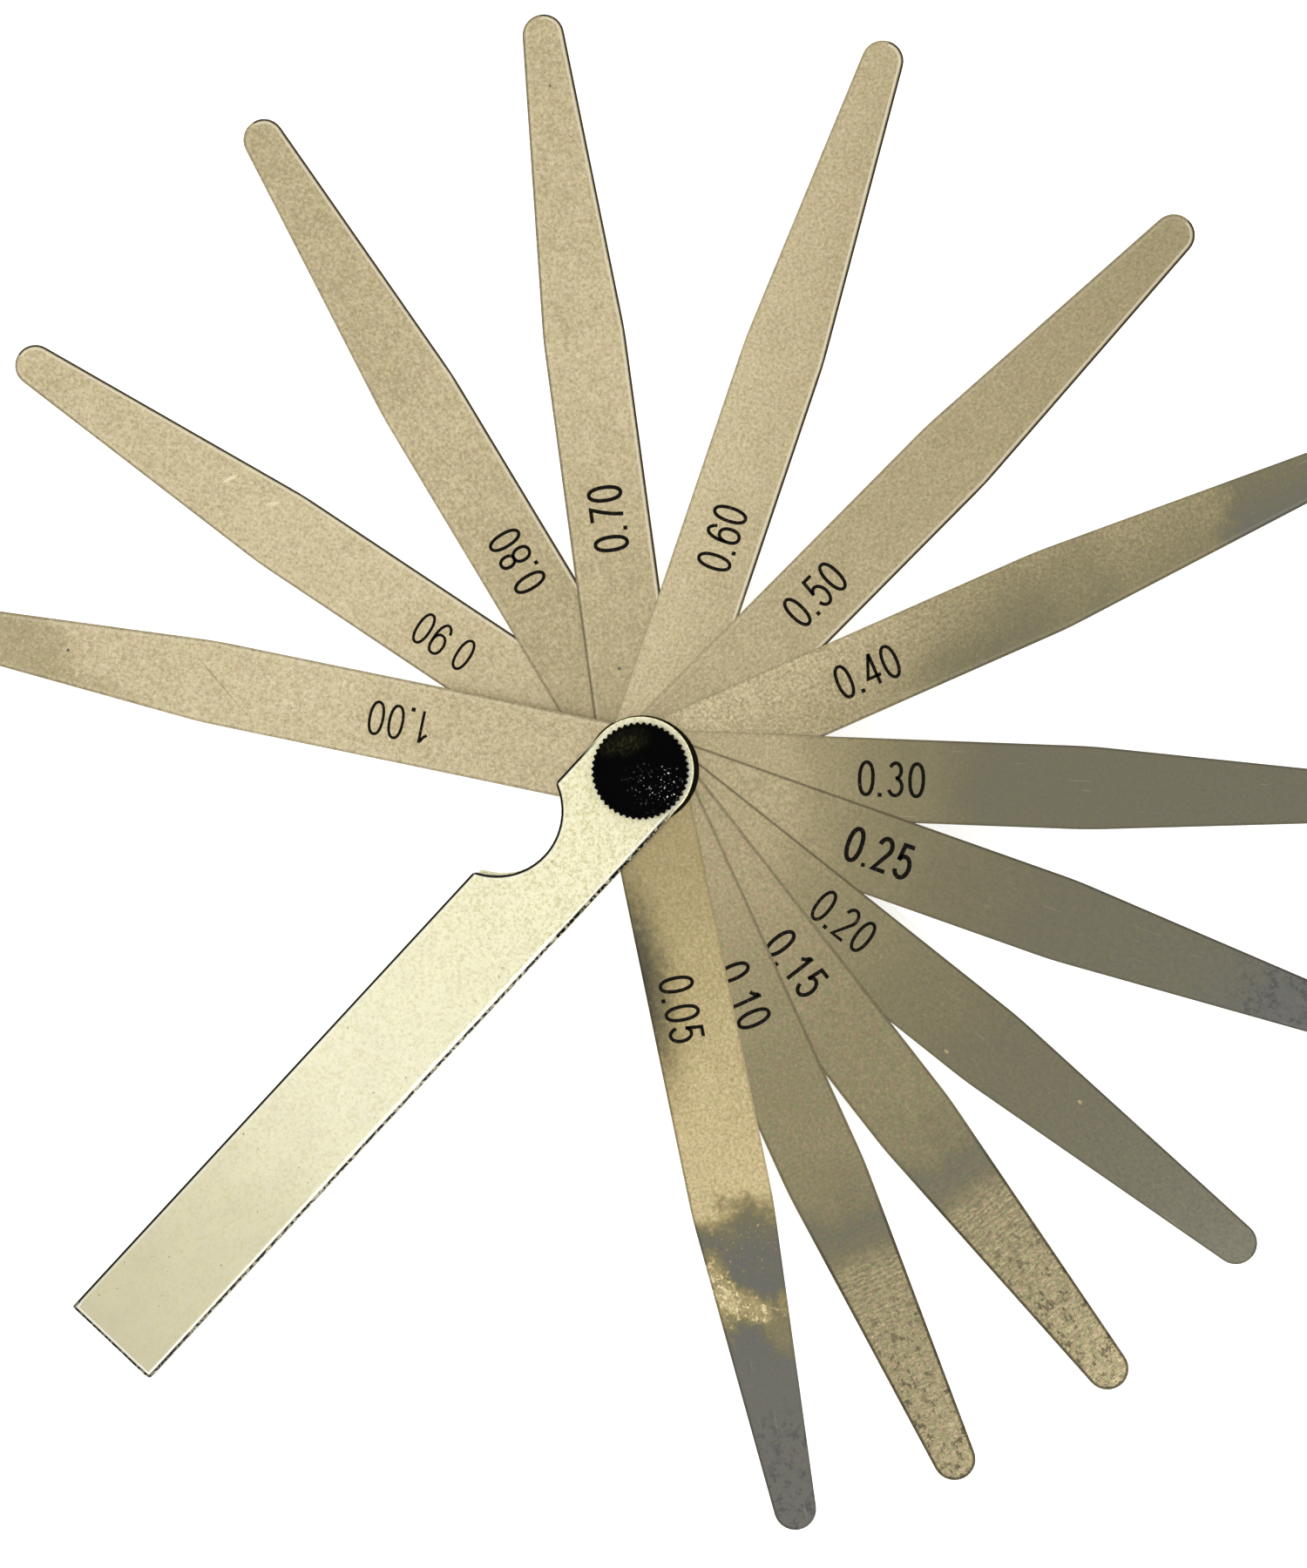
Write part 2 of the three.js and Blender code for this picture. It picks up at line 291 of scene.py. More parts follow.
def add_table():
    mesh = bpy.data.meshes.new("table")
    signs = [(-1, -1), (1, -1), (1, 1), (-1, 1)]
    mesh.from_pydata([(x * TABLE_HALF, y * TABLE_HALF, -TABLE_DROP) for x, y in signs], [], [(0, 1, 2, 3)])
    table = bpy.data.objects.new("table", mesh)
    bpy.context.scene.collection.objects.link(table)
    look = Look("table_white")
    mottle = look.noise(30, 3, where=look.add("TexCoord", {}, "Object"))
    look.put(look.surface.inputs["Base Color"], look.ramp(mottle, TABLE_GREYS))
    look.surface.inputs["Roughness"].default_value = 0.9
    look.surface.inputs["Emission Color"].default_value = (1, 1, 1, 1)
    look.surface.inputs["Emission Strength"].default_value = TABLE_GLOW
    mesh.materials.append(look.material)


# ---------------------------------------------------------------- blade steel

# All in mm, along and across a blade from the pivot.
BLADE_REACH = max(vert.co.xy.length for vert in frame["nodes"]["blade_1_00"].data.vertices) / MM
BLADE_HALF_WIDTH = 5.12
TAPER_START = 54.7
TIP_RADIUS = 2.6

RAMP_SPAN = 100.0  # how many mm along a piece a ramp of tones or colours covers

# How each blade looks: its painted reflections and sheen, its edge lines and its wear. Places are in mm
# along and across it from the pivot, where plus is its left side.
# tones: painted reflection along it, as brightness from 0 where it stands for the mirrored dim side of the
# tent to 1 for bright satin.
# satin: how matt and speckled it is.
# lean: how much brighter its left edge is than its middle, as a painted sheen.
# outlines, shine: how strong the dark line (partly painted shadow, partly the dark cut edge) and the
# painted highlight line are along its left and right edges.
# inner: how much of the dark line is left near the pivot.
# spotted: where its spots begin and where they are at their thickest.
# marks: stains and scratches, and broad lighter or darker patches, each an oval (see Look.patch), then its
# softness and its change of tone.
BLADE_LOOKS = {
    "1_00": {
        "tones": [(10, 0.86), (22, 0.88), (45, 0.98), (72, 0.90)],
        "satin": 0.85,
        "outlines": (0.3, 0.4),
        "shine": (0.2, 0.3),
        "marks": [
            (80, 2.0, 8, 6.5, 12, 0.25, -0.2),
            (67, 4.2, 6, 1.7, -8, 0.4, -0.12),
            (53.5, -0.3, 4.2, 0.09, -38, 0.2, -0.3),
            (72.6, -0.3, 0.2, 0.2, 0, 0.3, -0.9),
            (38, -4.0, 3.0, 0.08, 84, 0.2, 0.15),
        ],
    },
    "0_90": {
        "tones": [(10, 0.84), (22, 0.90), (45, 0.98), (93, 0.90)],
        "satin": 0.8,
        "outlines": (0.5, 1.0),
        "shine": (0.2, 1.0),
        "marks": [(63.6, -1.8, 1.0, 0.2, 60, 0.3, 0.6), (57.3, -2.2, 0.7, 0.18, 40, 0.3, 0.5)],
    },
    "0_80": {
        "tones": [(10, 0.70), (22, 0.74), (50, 0.88), (66, 0.81), (93, 0.77)],
        "satin": 0.9,
        "outlines": (0.3, 1.0),
        "shine": (0.1, 0.9),
        "marks": [(59, 1.8, 6, 3.5, 20, 0.7, -0.04)],
    },
    "0_70": {
        "tones": [(10, 0.70), (22, 0.79), (50, 0.92), (93, 0.82)],
        "satin": 0.8,
        "outlines": (0.6, 1.0),
        "shine": (0.2, 0.9),
        "marks": [(85.9, 0.0, 0.2, 0.15, 0, 0.3, -0.8), (13.0, 1.2, 0.2, 0.2, 0, 0.3, -0.7)],
    },
    "0_60": {
        "tones": [(10, 0.84), (42, 0.89), (93, 0.78)],
        "satin": 0.7,
        "lean": 0.06,
        "outlines": (0.3, 1.0),
        "inner": 0.25,
        "shine": (0.0, 1.0),
        "marks": [(79.4, 3.5, 0.3, 0.15, 0, 0.3, -0.8)],
    },
    "0_50": {
        "tones": [(10, 0.72), (22, 0.75), (60, 0.67), (93, 0.56)],
        "satin": 0.8,
        "outlines": (0.3, 1.0),
        "inner": 0.25,
        "shine": (0.2, 0.8),
    },
    "0_40": {
        "tones": [
            (10, 0.76), (30, 0.66), (41, 0.46), (52, 0.39), (56, 0.41),
            (60, 0.33), (64, 0.45), (76, 0.38), (78.5, 0.12),
        ],
        "satin": 1.3,
        "lean": 0.12,
        "outlines": (0.2, 0.5),
        "shine": (0.0, 0.1),
        "marks": [(39.5, -3.6, 6.5, 2.6, 0, 0.7, -0.13), (50, -1.4, 5.5, 4.2, 25, 0.7, -0.12)],
    },
    "0_30": {
        "tones": [(12, 0.74), (18, 0.70), (23, 0.54), (32, 0.32), (42, 0.12), (93, 0.10)],
        "satin": 0.8,
        "outlines": (0.4, 0.3),
        "inner": 0.2,
    },
    "0_25": {
        "tones": [(12, 0.74), (18, 0.70), (24, 0.50), (36, 0.23), (52, 0.12), (72, 0.10), (82, 0.0)],
        "satin": 0.8,
        "outlines": (0.6, 0.3),
        "spotted": (75, 80),
    },
    "0_20": {
        "tones": [(12, 0.72), (18, 0.66), (24, 0.50), (40, 0.28), (56, 0.14), (93, 0.08)],
        "satin": 0.8,
        "outlines": (0.6, 0.3),
        "marks": [(67, 1.6, 0.35, 0.2, 0, 0.3, 0.5), (50.5, -3.7, 0.3, 0.2, 0, 0.3, 0.5)],
    },
    "0_15": {
        "tones": [
            (12, 0.68), (22, 0.60), (38, 0.41), (52, 0.38), (58, 0.26),
            (61, 0.12), (64, 0.16), (67, 0.44), (80, 0.45), (93, 0.52),
        ],
        "satin": 0.85,
        "outlines": (0.8, 0.8),
        "crinkled": True,
    },
    "0_10": {
        "tones": [
            (12, 0.68), (22, 0.58), (38, 0.39), (52, 0.39), (58, 0.26),
            (61, 0.12), (64, 0.16), (67, 0.46), (80, 0.50), (93, 0.54),
        ],
        "satin": 0.85,
        "outlines": (0.8, 0.8),
        "crinkled": True,
    },
    "0_05": {
        "tones": [(12, 0.66), (22, 0.72), (42, 0.90), (54, 0.93), (56.5, 0.16), (59, 0.04), (93, 0.02)],
        "satin": 0.7,
        "outlines": (0.2, 0.5),
        "gilded": True,
        "spotted": (78, 84),
        "marks": [
            (25, -5.9, 11, 3.4, 2, 0.9, -0.6),
            (64.5, -3.8, 4.4, 1.8, 6, 0.5, 0.85),
            (66.8, -0.8, 3.2, 1.7, 52, 0.5, 0.8),
            (70.0, 2.4, 3.4, 1.8, 22, 0.6, 0.26),
            (67.3, 3.9, 1.6, 0.9, 0, 0.5, 0.4),
        ],
    },
}

# What each tone looks like, from the painted reflection of the dim side to painted glare.
TONE_COLOURS = [
    (0.0, srgb(112, 112, 107)),
    (0.15, srgb(125, 120, 96)),
    (0.4, srgb(148, 139, 106)),
    (0.7, srgb(182, 168, 131)),
    (1.0, srgb(216, 202, 163)),
    (1.4, srgb(243, 231, 196)),
]
ZONE_WANDER = 9.0  # how far the bright and dull zones of a blade stray, in mm
ZONE_RIPPLE = 3.0  # and how far their edges ripple
CLOUD_DEPTH = 0.22
DIMMEST = 0.06  # clouds and grain are never weaker than at this tone

# Zones along the blades, in mm: where each begins to fade in or out, and where it is whole or gone.
ETCHED = (64.0, 67.5)
FAINTLY_ETCHED = (44.0, 54.0)
RIPPLED = (70.0, 78.0)
STAINED = (68.0, 80.0)
OUTER_LINE = (58.0, 66.0)
GILDED = (68.0, 76.0)
INNER_LINE = (14.0, 28.0)

# Ovals on the thinnest blade.
STREAK = (65.5, -1.0, 7.0, 5.0, 0)
SPARKS = (59.0, 1.0, 3.6, 5.0, 0)
TARNISHED = (24.5, -5.8, 8.5, 2.3, 2)

# The lines along a blade's edges, in mm: a painted highlight line, and a dark line that is partly painted
# shadow and partly the dark cut edge.
HIGHLIGHT_LINE_PLACE = 0.5
HIGHLIGHT_LINE_HALF = (0.05, 0.2)  # either side of its middle, where it begins to fade and is gone
EDGE_LINE_WIDTH = 0.18
CRINKLED_LINE_WIDTH = 0.26
EDGE_LINE_FADE = 0.19

PATINA = [(0.35, (1.022, 0.992, 1.02)), (0.65, (0.986, 1.006, 0.95))]
CRINKLE_TINTS = [(0.38, (1.06, 0.98, 1.05)), (0.62, (0.95, 1.03, 0.98))]
GOLD = (1.0, 0.965, 0.85)
TARNISH = srgb(74, 69, 57)
STAIN = srgb(88, 82, 64)
SPOT = srgb(76, 76, 80)
FLECK = srgb(232, 222, 184)
SPECK = srgb(84, 76, 54)
SCRATCH = srgb(226, 216, 184)
# a painted highlight along the rounded edges
EDGE_HIGHLIGHT = srgb(236, 228, 200)
# the dark edge line: partly painted shadow, partly the dark cut edge
EDGE_LINE = srgb(60, 54, 40)
# painted shadow round the case's round end
PAINTED_CASE_SHADOW = srgb(4, 4, 3)
# the upright cut sides: partly dark sheared steel, partly painted shade
SHADED_CUT_STEEL = srgb(66, 60, 46)
STEEL_SHADE = (0.84, 0.84, 0.86)  # the share of the colours above that the steel gives back

CASE_SHADOW_RADIUS = 6.74  # how far from the pivot the painted shadow round the case's round end reaches, in mm
CASE_SHADOW_FADE = (-0.02, 0.1)  # either side of that radius, where the painted shadow begins to fade and is gone
CASE_SHADOW_SWELL = 0.36  # how much further it reaches on the picture's right
CASE_SHIFT = 0.15  # how far towards its open side the CAD's case is moved to match the photo, in mm


def edge_distance(look):
    """How far a point is from the blade's outline, in mm."""
    tip_middle = BLADE_REACH - TIP_RADIUS
    run = tip_middle - TAPER_START
    taper = math.atan2(BLADE_HALF_WIDTH, run) - math.asin(TIP_RADIUS / math.hypot(run, BLADE_HALF_WIDTH))
    inside = look.minus(BLADE_HALF_WIDTH, look.math("ABSOLUTE", look.across))
    past_bend = look.minus(look.along, TAPER_START)
    inside_taper = look.minus(look.times(inside, math.cos(taper)), look.times(past_bend, math.sin(taper)))
    inside_body = look.math("MINIMUM", inside, inside_taper)
    past_tip = look.math("MAXIMUM", look.minus(look.along, tip_middle), 0.0)
    inside_tip = look.minus(TIP_RADIUS, look.hypotenuse(past_tip, look.across))
    in_tip = look.math("GREATER_THAN", look.along, tip_middle)
    return look.plus(inside_body, look.times(in_tip, look.minus(inside_tip, inside_body)))


def ground_tone(look, tones, satin, lean, marks):
    """The tone of the ground steel with its painted reflections and sheen, the same without its clouds and
    grain, and the grain.
    """
    shifted = look.plus(look.along, look.times(look.wobble(0.16, 3), ZONE_WANDER))
    shifted = look.plus(shifted, look.times(look.wobble(1.1, 2), ZONE_RIPPLE))
    # the tones paint the blade's reflections into its colour
    stops = [(place / RAMP_SPAN, level) for place, level in tones]
    tone = look.ramp(look.math("DIVIDE", shifted, RAMP_SPAN), stops)
    # a painted sheen towards the left edge
    tone = look.plus(tone, look.times(look.across, lean / BLADE_HALF_WIDTH))
    for *oval, softness, change in marks:
        tone = look.plus(tone, look.times(look.patch(oval, softness), change))
    bright = look.math("MAXIMUM", tone, DIMMEST)
    cloud = look.times(look.wobble(0.22, 4, 0.6), bright)
    tone = look.plus(tone, look.times(cloud, CLOUD_DEPTH))
    grain = look.wobble(2.4, 4, 0.8)
    tone = look.plus(tone, look.times(grain, look.times(bright, 0.6 + 1.5 * satin)))
    return tone, bright, grain


def crinkles(look):
    """How much an etched outer end brightens and darkens a blade, and 1 where it is stained."""
    faintly = look.step(look.along, *FAINTLY_ETCHED, 0.0, 0.2)
    etched = look.math("MAXIMUM", look.step(look.along, *ETCHED), faintly)
    leaning = {"Rotation": (0, 0, math.radians(35)), "Scale": (2.0, 0.9, 1.0)}
    fold = look.wobble(1.0, 3, 0.7, swirl=1.6, where=look.add("Mapping", {"Vector": look.where, **leaning}))
    rows = {"Scale": 0.5, "Distortion": 7.0, "Detail": 2.0, "Detail Scale": 0.6}
    waves = look.minus(look.add("TexWave", {"Vector": look.where, **rows}, "Fac"), 0.5)
    fold = look.plus(fold, look.times(waves, look.step(look.along, *RIPPLED, 0.13, 0.02)))
    stain = look.step(look.noise(0.95, 5, 0.75), 0.545, 0.585)
    stain = look.times(stain, look.step(look.along, *STAINED, 0.3, 1.0))
    return look.times(fold, etched), look.times(stain, etched)


def glitter(look, tone, bright):
    """The tone with the thinnest blade's sparkling streak, and the loose sparks nearer the pivot."""
    streak = look.patch(STREAK, 0.5)
    facets = look.step(look.noise(1.6, 3, 0.6), 0.54, 0.64, -0.35, 0.6)
    tone = look.plus(tone, look.times(look.times(facets, streak), bright))
    sparks = look.step(look.noise(2.1, 2), 0.63, 0.69, 0.0, 0.6)
    return look.plus(tone, look.times(sparks, look.patch(SPARKS, 0.5)))


def tone_colour(look, tone):
    """The steel's colour at a tone, patchy with patina."""
    brightest = TONE_COLOURS[-1][0]
    stops = [(level / brightest, colour) for level, colour in TONE_COLOURS]
    colour = look.ramp(look.math("DIVIDE", tone, brightest), stops)
    return look.tinted(colour, look.ramp(look.noise(1.3, 2), PATINA))


def gilding(look, colour, tone):
    """A golden cast on the bright part, and a tarnished patch by the number."""
    gold = look.times(look.step(look.along, *GILDED, 1.0, 0.0), look.step(tone, 0.1, 0.55, 0.15, 1.0))
    colour = look.mix(gold, colour, look.tinted(colour, GOLD))
    return look.painted(colour, look.patch(TARNISHED, 0.85), 0.8, TARNISH)


def spots(look, colour, begin, thick):
    """Dark rust spots towards the tip."""
    spot = look.step(look.noise(0.85, 4, 0.75), 0.5, 0.62)
    return look.painted(colour, look.times(spot, look.step(look.along, begin, thick)), 0.55, SPOT)


def scratches(look, colour, bright, satin):
    """Bright flecks, dark specks and fine lengthwise scratches."""
    fleck = look.step(look.noise(2.9, 2, 0.6), 0.6, 0.72)
    colour = look.painted(colour, fleck, look.times(bright, 0.4 * satin), FLECK)
    speck = look.step(look.noise(2.3, 1), 0.745, 0.79)
    colour = look.painted(colour, speck, 0.4, SPECK)
    lengthwise = look.add("Mapping", {"Vector": look.where, "Scale": (0.14, 4.5, 1.0)})
    scratch = look.step(look.noise(1.0, 2, where=lengthwise), 0.71, 0.76)
    return look.painted(colour, scratch, 0.12 + 0.12 * satin, SCRATCH)


def edge_highlight_and_shade(look, colour, outlines, inner, shine, crinkled):
    """A dark line on each edge, partly painted shadow and partly the dark cut edge, and a painted highlight
    line just inside it.
    """
    edge = edge_distance(look)
    left = look.math("GREATER_THAN", look.across, 0.0)

    def by_side(pair):
        return look.plus(pair[1], look.times(left, pair[0] - pair[1]))

    # painted highlight line just inside the edge
    highlight_line = look.step(look.away_from(edge, HIGHLIGHT_LINE_PLACE), *HIGHLIGHT_LINE_HALF, 0.8, 0.0)
    colour = look.painted(colour, highlight_line, by_side(shine), EDGE_HIGHLIGHT)
    # dark edge line, partly painted shadow
    width = CRINKLED_LINE_WIDTH if crinkled else EDGE_LINE_WIDTH
    line = look.step(edge, width, width + EDGE_LINE_FADE, 1.0, 0.0)
    line = look.times(line, look.step(look.along, *INNER_LINE, inner, 1.0))
    if crinkled:
        line = look.times(line, look.step(look.along, *OUTER_LINE, 0.5, 1.0))
    return look.painted(colour, line, by_side(outlines), EDGE_LINE)


def case_shadow_ring(look, opening):
    """Near 1 in the painted shadow that the case's round end casts on the blades, widest on the picture's
    right.
    """
    turn = Matrix.Rotation(opening, 3, "Z")
    middle = turn @ Vector((0, -CASE_SHIFT, 0))
    flat = look.vector("MULTIPLY", look.where, (1.0, 1.0, 0.0))
    outwards = look.vector("SUBTRACT", flat, tuple(middle))
    facing = look.dot(look.vector("NORMALIZE", outwards), tuple(turn @ RIGHT))
    swell = look.times(look.math("POWER", look.math("MAXIMUM", facing, 0.0), 3.0), CASE_SHADOW_SWELL)
    beyond = look.minus(look.length(outwards), swell)
    fade_start, fade_end = CASE_SHADOW_FADE
    return look.step(beyond, CASE_SHADOW_RADIUS + fade_start, CASE_SHADOW_RADIUS + fade_end, 0.98, 0.0)


def blade_steel(
    name,
    opening,
    tones,
    satin,
    outlines,
    inner=1.0,
    shine=(0.0, 0.0),
    lean=0.0,
    marks=(),
    gilded=False,
    crinkled=False,
    spotted=None,
):
    """Ground spring steel with one blade's painted reflections, painted highlight and painted shade, and
    its wear, which swings with the blade.
    """
    look = Look("steel_" + name)
    look.locate(Rotation=(0, 0, opening))
    tone, bright, grain = ground_tone(look, tones, satin, lean, marks)
    hills = look.bump(look.noise(0.5, 2), 0.03 * MM, 0.5)
    bumps = look.bump(grain, 0.006 * MM, 0.6 * satin + 0.1, under=hills)
    if crinkled:
        fold, stain = crinkles(look)
        tone = look.plus(tone, look.times(fold, 1.3))
        bumps = look.bump(fold, 0.03 * MM, 0.8, under=bumps)
    if gilded:
        tone = glitter(look, tone, bright)
    colour = tone_colour(look, tone)
    if gilded:
        colour = gilding(look, colour, tone)
    if crinkled:
        colour = look.tinted(colour, look.ramp(look.noise(1.7, 3), CRINKLE_TINTS))
        colour = look.painted(colour, stain, 0.8, STAIN)
    if spotted:
        colour = spots(look, colour, *spotted)
    colour = scratches(look, colour, bright, satin)
    colour = edge_highlight_and_shade(look, colour, outlines, inner, shine, crinkled)
    # painted shadow of the case's round end on the blade
    colour = look.mix(case_shadow_ring(look, opening), colour, PAINTED_CASE_SHADOW)
    # upright cut sides darkened: partly dark sheared steel, partly painted shade
    cut = look.step(look.uprightness(), 0.3, 0.7, 1.0, 0.0)
    colour = look.tinted(look.painted(colour, cut, 0.8, SHADED_CUT_STEEL), STEEL_SHADE)
    matt = 0.2 + 0.14 * satin
    rough = look.step(grain, -0.2, 0.2, matt - 0.05, matt + 0.06)
    return look.finish(colour, rough, bumps, {"Metallic": 1.0})


# ---------------------------------------------------------------- case, knob and hardware looks

# All in mm, along and across the case from the pivot, as drawn.
CASE_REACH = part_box("case")[1].x / MM
CASE_HALF_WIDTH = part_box("case")[1].y / MM
SPINE_START = 21.9
SPINE_INSIDE = 5.2  # the spine's wall lies further across than this
NOTCH_RADIUS = 8.06
NOTCH_CENTRE = (15.6, -9.6)
CASE_ROUNDING = 0.18  # how far its edges are rounded back
PLATE_WANDER = 24.0  # how far the zones of the plate's colour stray

CASE_SPREAD = 1.035  # how many times wider than the CAD the case is made, to match the photo

# Zones of the case, in mm: where each begins to fade in or out, and where it is whole or gone.
STRAIGHT_SIDES = (-1.0, 4.0)
YELLOW_GRAIN = (12.0, 44.0)
FOLD_ACROSS = (3.0, 5.0)
SPINE_ACROSS = (4.4, 4.8)
FRONT_CHEEK_HEIGHT = (7.8, 8.2)

# The plate along the case, from the pivot to the open end.
PLATE_COLOURS = [
    (0.0, srgb(241, 237, 204)),
    (0.30, srgb(235, 232, 200)),
    (0.50, srgb(233, 230, 202)),
    (0.63, srgb(223, 219, 190)),
    (0.72, srgb(210, 205, 176)),
    (0.96, srgb(194, 189, 162)),
]
PLATE_GRAIN = srgb(190, 182, 128)
PLATE_MOTTLE = [(0.36, (0.985, 0.983, 1.0)), (0.62, (1.02, 1.02, 1.0))]
PLATE_SPECK = srgb(84, 78, 50)
# a painted highlight near the edges
PLATE_HIGHLIGHT = srgb(253, 253, 250)
# the dark edge line: partly the dark sheared edge, partly painted shade
PLATE_EDGE_LINE_AND_SHADE = srgb(15, 15, 16)
# cut faces, darkest at the round end: partly dark sheared steel, partly painted shade
SHADED_CUT_ROUND_END = srgb(32, 31, 28)
SHADED_CUT_STRAIGHT = srgb(62, 60, 55)

ZINC_COLOURS = [(0.3, srgb(176, 174, 168)), (0.7, srgb(206, 204, 198))]
ZINC_DULL = srgb(128, 126, 118)

KNOB_BLACKS = [(0.3, srgb(1, 1, 2)), (0.7, srgb(5, 5, 5))]
# a painted brownish sheen, and painted glints on the grains
KNOB_SHEEN = srgb(54, 52, 30)
KNOB_DIM_GLINT = srgb(120, 118, 114)
KNOB_GLINT = srgb(255, 255, 255)

INK_BLACKS = [(0.35, srgb(5, 4, 3)), (0.6, srgb(16, 13, 9)), (0.78, srgb(96, 86, 62))]


def case_edge_distance(look):
    """How far a point is from the front cheek's outline, in mm."""
    before_pivot = look.math("DIVIDE", look.math("MINIMUM", look.along, 0.0), CASE_SPREAD)
    drawn_across = look.math("DIVIDE", look.across, CASE_SPREAD)
    inside = look.minus(CASE_HALF_WIDTH, look.hypotenuse(before_pivot, drawn_across))
    from_end = look.minus(CASE_REACH, look.along)
    past_notch = look.minus(look.along, NOTCH_CENTRE[0])
    beside_notch = look.minus(drawn_across, NOTCH_CENTRE[1])
    from_notch = look.minus(look.hypotenuse(past_notch, beside_notch), NOTCH_RADIUS)
    return look.math("MINIMUM", look.math("MINIMUM", inside, from_end), from_notch)


def nickel_plate(look, grain):
    """The plate's colour, yellower in its grain and duller towards the open end."""
    shifted = look.plus(look.along, look.times(look.wobble(0.07, 3), PLATE_WANDER))
    colour = look.ramp(look.math("DIVIDE", shifted, RAMP_SPAN), PLATE_COLOURS)
    yellow = look.step(grain, 0.36, 0.56, 1.0, 0.0)
    colour = look.painted(colour, yellow, look.step(look.along, *YELLOW_GRAIN, 0.85, 0.45), PLATE_GRAIN)
    colour = look.tinted(colour, look.ramp(look.noise(0.32, 5, 0.7), PLATE_MOTTLE))
    return look.painted(colour, look.step(look.noise(1.9, 1), 0.74, 0.8), 0.6, PLATE_SPECK)


def case_edge_highlight_and_shade(look, colour):
    """A dark line on the front cheek's edges, partly the dark sheared edge and partly painted shade, broken
    on the fold, a painted white highlight inside it, and dark cut faces that are partly painted shade.
    """
    edge = case_edge_distance(look)
    straight = look.step(look.along, *STRAIGHT_SIDES)
    far_end = look.step(look.along, CASE_REACH - 1.3, CASE_REACH - 1.0)
    folded = look.math("MAXIMUM", look.step(look.across, *FOLD_ACROSS), look.times(far_end, 0.6))
    # a painted white highlight just inside the edges
    off = look.math("ABSOLUTE", look.minus(edge, look.math("MULTIPLY_ADD", folded, 0.08, 0.44)))
    half = look.math("MULTIPLY_ADD", folded, -0.02, 0.04)
    highlight_line = look.step(look.minus(off, half), 0.0, 0.16, 1.0, 0.0)
    colour = look.painted(colour, highlight_line, look.math("MULTIPLY_ADD", folded, 0.45, 0.25), PLATE_HIGHLIGHT)
    whole = look.step(look.noise(2.0, 3), 0.4, 0.52)
    whole = look.minus(1.0, look.times(folded, look.minus(1.0, whole)))
    # the dark edge line, partly painted shade
    rim = look.minus(edge, look.times(folded, 0.1))
    line = look.times(look.step(rim, 0.2, 0.38, 1.0, 0.0), look.step(look.height, *FRONT_CHEEK_HEIGHT))
    line = look.times(line, look.math("MULTIPLY_ADD", whole, 0.55, 0.45))
    colour = look.painted(colour, line, straight, PLATE_EDGE_LINE_AND_SHADE)
    # cut faces darkened, partly painted shade
    past_start = look.step(look.along, SPINE_START, SPINE_START + 0.2)
    on_spine = look.times(look.step(look.across, *SPINE_ACROSS), past_start)
    cut = look.times(look.step(look.uprightness(), 0.3, 0.6, 1.0, 0.0), look.minus(1.0, on_spine))
    return look.painted(colour, cut, 0.85, look.mix(straight, SHADED_CUT_ROUND_END, SHADED_CUT_STRAIGHT))


def case_nickel():
    """Nickel plate with a painted white highlight near its edges, dark on the edges themselves and where
    the sheet was cut, partly from painted shade.
    """
    look = Look("case_nickel")
    look.locate(Location=(0, CASE_SHIFT, 0))
    grain = look.noise(2.5, 5, 0.8)
    colour = case_edge_highlight_and_shade(look, nickel_plate(look, grain))
    hills = look.bump(look.noise(0.25, 2), 0.05 * MM, 0.4)
    bumps = look.bump(grain, 0.01 * MM, 0.5, under=hills)
    return look.finish(colour, look.step(grain, 0.3, 0.7, 0.28, 0.4), bumps, {"Metallic": 1.0})


def zinc_steel():
    """The plated steel of the post, the washers and the screw."""
    look = Look("zinc_steel")
    look.locate()
    grain = look.noise(3.0, 4, 0.7)
    colour = look.ramp(look.noise(0.4, 3), ZINC_COLOURS)
    colour = look.painted(colour, look.step(grain, 0.5, 0.75), 0.4, ZINC_DULL)
    bumps = look.bump(grain, 0.006 * MM, 0.5)
    return look.finish(colour, look.step(grain, 0.3, 0.7, 0.22, 0.36), bumps, {"Metallic": 1.0})


def knob_plastic():
    """Black moulded plastic, with painted glints on grains on one side of its face and a painted brownish
    sheen on the other.
    """
    look = Look("knob_plastic")
    look.locate()
    turn_up = math.degrees(math.atan2(UP.y, UP.x))

    def face_patch(rightwards, upwards, half_up, half_right, turn, softness):
        middle = RIGHT * rightwards + UP * upwards
        return look.patch((middle.x, middle.y, half_up, half_right, turn_up + turn), softness)

    grain = look.noise(7.0, 3, 0.6)
    sheen = look.step(look.noise(2.6, 4, 0.75), 0.45, 0.72, 0.1, 1.0)
    pebble = look.step(look.noise(3.0, 2, 0.6), 0.62, 0.72)
    colour = look.ramp(grain, KNOB_BLACKS)
    # a painted brownish sheen on the upper left of the face, and painted glints on the grains at the lower
    # right
    colour = look.painted(colour, sheen, face_patch(-1.8, 3.5, 1.2, 2.4, 15, 0.7), KNOB_SHEEN)
    colour = look.painted(colour, pebble, face_patch(2.0, -2.3, 2.2, 3.3, -25, 0.5), KNOB_DIM_GLINT)
    colour = look.painted(colour, pebble, face_patch(3.0, -1.8, 1.9, 1.6, 0, 0.5), KNOB_GLINT)
    bumps = look.bump(grain, 0.02 * MM, 0.6)
    return look.finish(colour, look.step(grain, 0.3, 0.7, 0.14, 0.32), bumps, {"Specular IOR Level": 0.012})


def ink_look():
    """Black etched ink, with the steel showing through its grain."""
    look = Look("etched_black")
    look.locate()
    grain = look.noise(3.5, 3, 0.7)
    colour = look.ramp(grain, INK_BLACKS)
    bumps = look.bump(grain, 0.01 * MM, 0.5)
    return look.finish(colour, look.step(grain, 0.3, 0.7, 0.55, 0.8), bumps, {"Specular IOR Level": 0.06})


# ---------------------------------------------------------------- shapes

